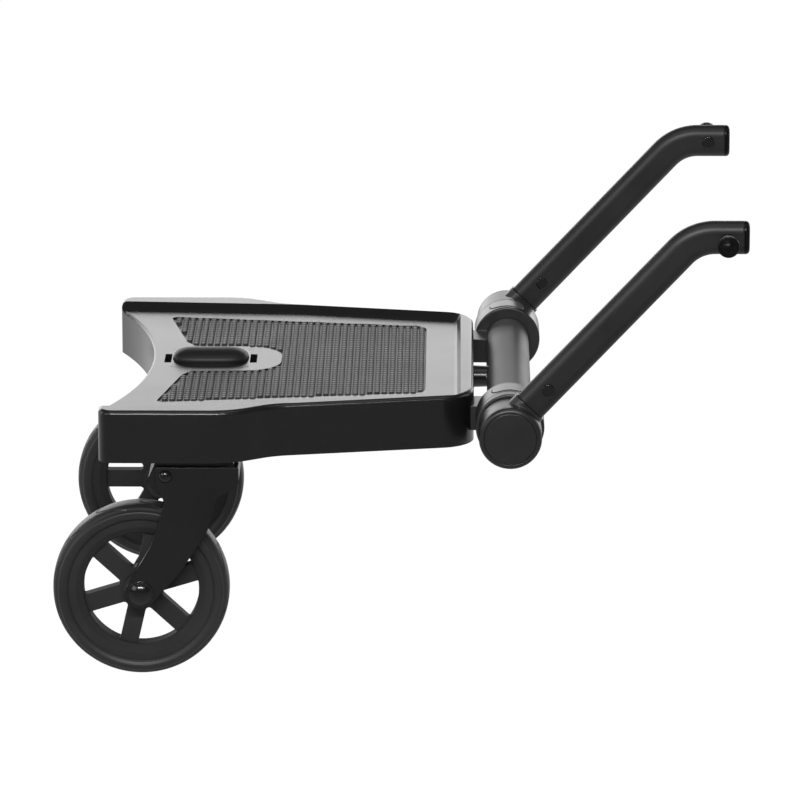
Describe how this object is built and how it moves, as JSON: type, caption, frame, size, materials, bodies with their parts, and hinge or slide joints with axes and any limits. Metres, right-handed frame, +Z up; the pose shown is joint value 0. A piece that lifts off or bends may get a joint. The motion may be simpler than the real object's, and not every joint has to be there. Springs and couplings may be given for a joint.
{
  "type": "buggy board",
  "caption": "Ride-on board for the back of a stroller: tapered deck with rubber mat and lift grip, swivel casters, folding cross-tube hinge and bent arms with mushroom studs.",
  "frame": {"origin": "middle of the bounding box, on the floor under the wheels", "axes": "+X forward to the stroller, +Y to the board's left, +Z up"},
  "size_m": [0.586, 0.452, 0.3983],
  "materials": {
    "deck_plastic": "satin",
    "mat_rubber": "matte",
    "grip_plastic": "satin",
    "webbing": "woven",
    "collar_plastic": "satin",
    "band_plastic": "satin",
    "button_plastic": "matte",
    "cap_plastic": "satin",
    "tube_paint": "satin",
    "arm_paint": "satin",
    "stud_plastic": "gloss",
    "black_steel": "semi gloss",
    "bare_steel": "plain",
    "caster_plastic": "satin",
    "bush_plastic": "plain",
    "tyre_rubber": "matte",
    "rim_plastic": "satin"
  },
  "bodies": {
    "frame": {"cross_tube": "tube_paint", "arm_hub_left": "collar_plastic", "arm_hub_right": "collar_plastic", "hub_end_cap_left": "cap_plastic", "hub_end_cap_right": "cap_plastic", "hub_screw_left": "bare_steel", "hub_screw_right": "bare_steel", "arm_tube_left": "arm_paint", "arm_tube_right": "arm_paint", "arm_plug_left": "cap_plastic", "arm_plug_right": "cap_plastic", "stud_left": "stud_plastic", "stud_right": "stud_plastic", "stud_screw_left": "black_steel", "stud_screw_right": "black_steel", "arm_rivet_left": "black_steel", "arm_rivet_right": "black_steel"},
    "deck": {"deck_shell": "deck_plastic", "tread_mat": "mat_rubber", "bracket_screws": "bare_steel", "hinge_bracket_left": "collar_plastic", "hinge_bracket_right": "collar_plastic", "collar_band_left": "band_plastic", "collar_band_right": "band_plastic", "button_spring_left": "bare_steel", "button_spring_right": "bare_steel", "stem_bush_left": "bush_plastic", "stem_bush_right": "bush_plastic"},
    "grip": {"lift_grip": "grip_plastic", "grip_straps": "webbing", "strap_stop_bars": "bare_steel"},
    "button_left": {"release_button_left": "button_plastic"},
    "caster_left": {"fork_left": "caster_plastic", "swivel_head_left": "caster_plastic", "caster_stem_left": "bare_steel", "stem_clip_left": "bare_steel", "fork_bolt_left": "black_steel", "fork_nut_left": "bare_steel", "axle_left": "black_steel", "axle_nut_left": "black_steel", "axle_spacers_left": "bare_steel"},
    "wheel_left": {"tyre_left": "tyre_rubber", "rim_left": "rim_plastic", "wheel_bushes_left": "bush_plastic"},
    "button_right": {"release_button_right": "button_plastic"},
    "caster_right": {"fork_right": "caster_plastic", "swivel_head_right": "caster_plastic", "caster_stem_right": "bare_steel", "stem_clip_right": "bare_steel", "fork_bolt_right": "black_steel", "fork_nut_right": "bare_steel", "axle_right": "black_steel", "axle_nut_right": "black_steel", "axle_spacers_right": "bare_steel"},
    "wheel_right": {"tyre_right": "tyre_rubber", "rim_right": "rim_plastic", "wheel_bushes_right": "bush_plastic"}
  },
  "joints": [
    {"name": "deck_fold", "type": "hinge", "parent": "frame", "child": "deck", "pos_m": [0.0945, 0, 0.215], "axis": [0, 1, 0], "range_deg": [0, 85]},
    {"name": "grip_lift", "type": "slide", "parent": "deck", "child": "grip", "axis": [0, 0, 1], "range_m": [0, 0.016]},
    {"name": "button_press_left", "type": "slide", "parent": "deck", "child": "button_left", "axis": [0, 0, -1], "range_m": [0, 0.0024], "stiffness_N_per_m": 1200, "springref_m": -0.003, "deforming": ["button_spring_left"]},
    {"name": "caster_swivel_left", "type": "hinge", "parent": "deck", "child": "caster_left", "pos_m": [-0.168, 0.1705, 0.19], "axis": [0, 0, 1], "continuous": true},
    {"name": "wheel_spin_left", "type": "hinge", "parent": "caster_left", "child": "wheel_left", "pos_m": [-0.218, 0.1705, 0.075], "axis": [0, 1, 0], "continuous": true},
    {"name": "button_press_right", "type": "slide", "parent": "deck", "child": "button_right", "axis": [0, 0, -1], "range_m": [0, 0.0024], "stiffness_N_per_m": 1200, "springref_m": -0.003, "deforming": ["button_spring_right"]},
    {"name": "caster_swivel_right", "type": "hinge", "parent": "deck", "child": "caster_right", "pos_m": [-0.168, -0.1705, 0.19], "axis": [0, 0, 1], "continuous": true},
    {"name": "wheel_spin_right", "type": "hinge", "parent": "caster_right", "child": "wheel_right", "pos_m": [-0.218, -0.1705, 0.075], "axis": [0, 1, 0], "continuous": true}
  ]
}
